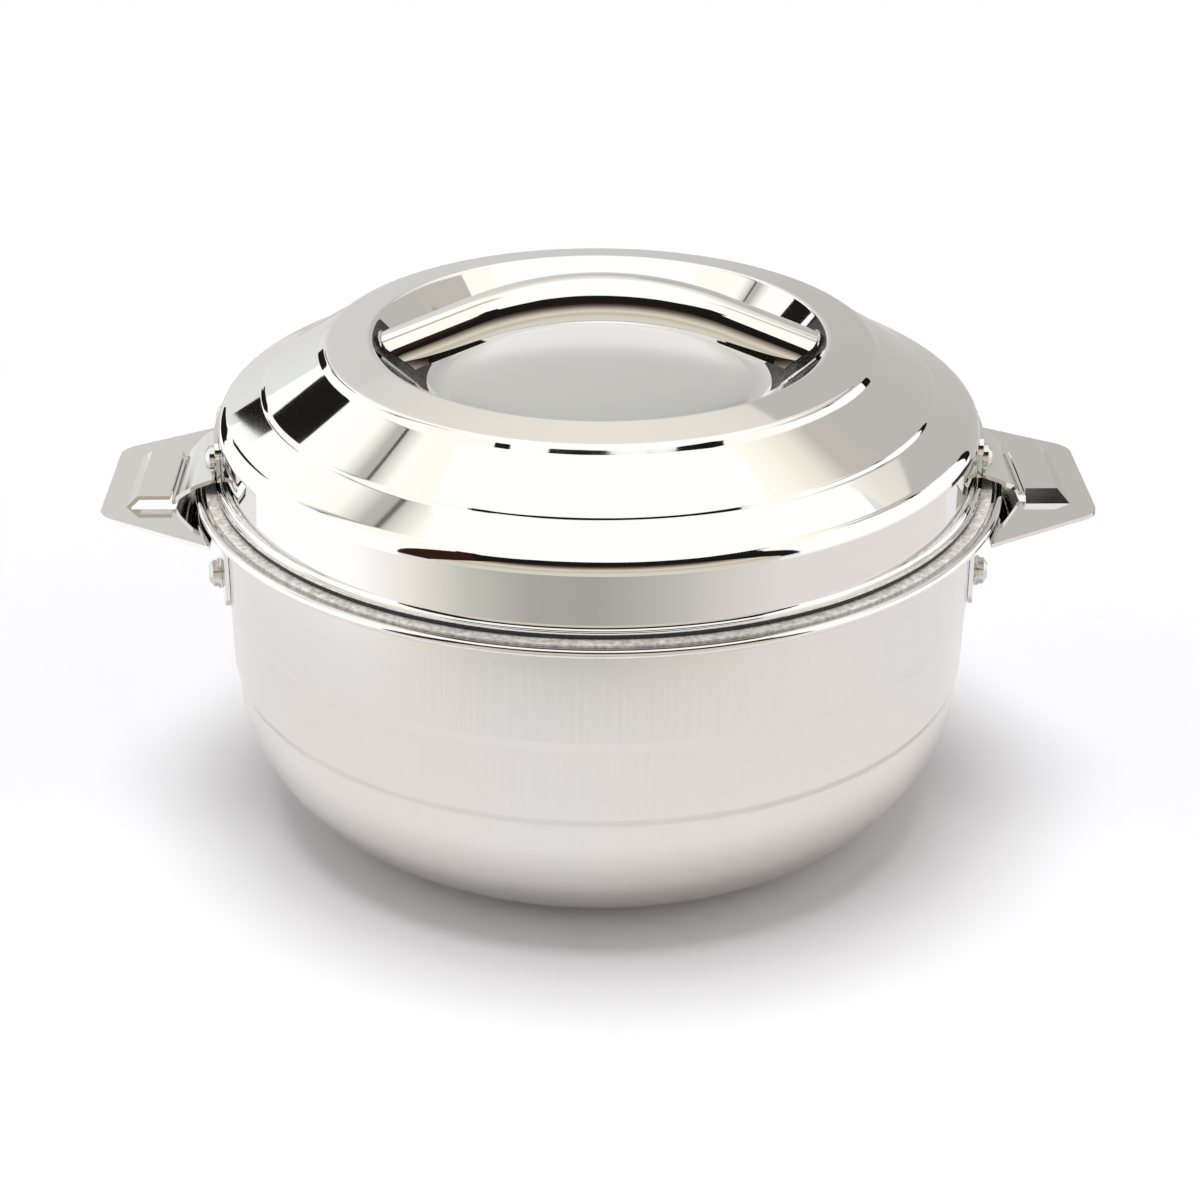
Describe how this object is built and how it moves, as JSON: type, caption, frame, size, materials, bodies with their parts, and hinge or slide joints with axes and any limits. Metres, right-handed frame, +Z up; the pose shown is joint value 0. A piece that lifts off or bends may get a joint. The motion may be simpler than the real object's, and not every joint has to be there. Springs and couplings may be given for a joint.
{
  "type": "insulated chapati casserole",
  "caption": "Round double-walled steel serving pot with plate side handles and a domed insulated lid that turns to lock under them and lifts off.",
  "frame": {"origin": "centre of the foot, on the surface that the pot stands on", "axes": "+X from the left side handle to the right one, along the lid handle; +Z up; the picture was taken from -Y"},
  "size_m": [0.292, 0.24, 0.1667],
  "materials": {
    "shell_steel": "satin",
    "bowl_steel": "satin",
    "plate_steel": "satin",
    "lid_steel": "polished",
    "screw_steel": "gloss",
    "foam": "matte",
    "seal_rubber": "satin",
    "plug_plastic": "matte"
  },
  "bodies": {
    "pot": {"outer_shell": "shell_steel", "body_insulation": "foam", "inner_bowl": "bowl_steel", "fill_plug": "plug_plastic", "handle_plate_right": "plate_steel", "handle_plate_left": "plate_steel", "body_screws_right": "screw_steel", "body_screws_left": "screw_steel", "body_washers_right": "screw_steel", "body_washers_left": "screw_steel", "body_nuts_right": "screw_steel", "body_nuts_left": "screw_steel"},
    "seal": {"lid_seal": "seal_rubber"},
    "lid": {"lid_dome": "lid_steel", "lid_insulation": "foam", "lid_liner": "bowl_steel", "lid_handle": "lid_steel", "lid_lug_right": "plate_steel", "lid_lug_left": "plate_steel", "lid_screws_right": "screw_steel", "lid_screws_left": "screw_steel", "lid_nuts_right": "screw_steel", "lid_nuts_left": "screw_steel"}
  },
  "joints": [
    {"name": "lid_twist", "type": "hinge", "parent": "pot", "child": "seal", "pos_m": [0, 0, 0.1066], "axis": [0, 0, 1], "range_deg": [0, 20]},
    {"name": "lid_lift", "type": "slide", "parent": "seal", "child": "lid", "axis": [0, 0, 1], "range_m": [0, 0.12]}
  ]
}
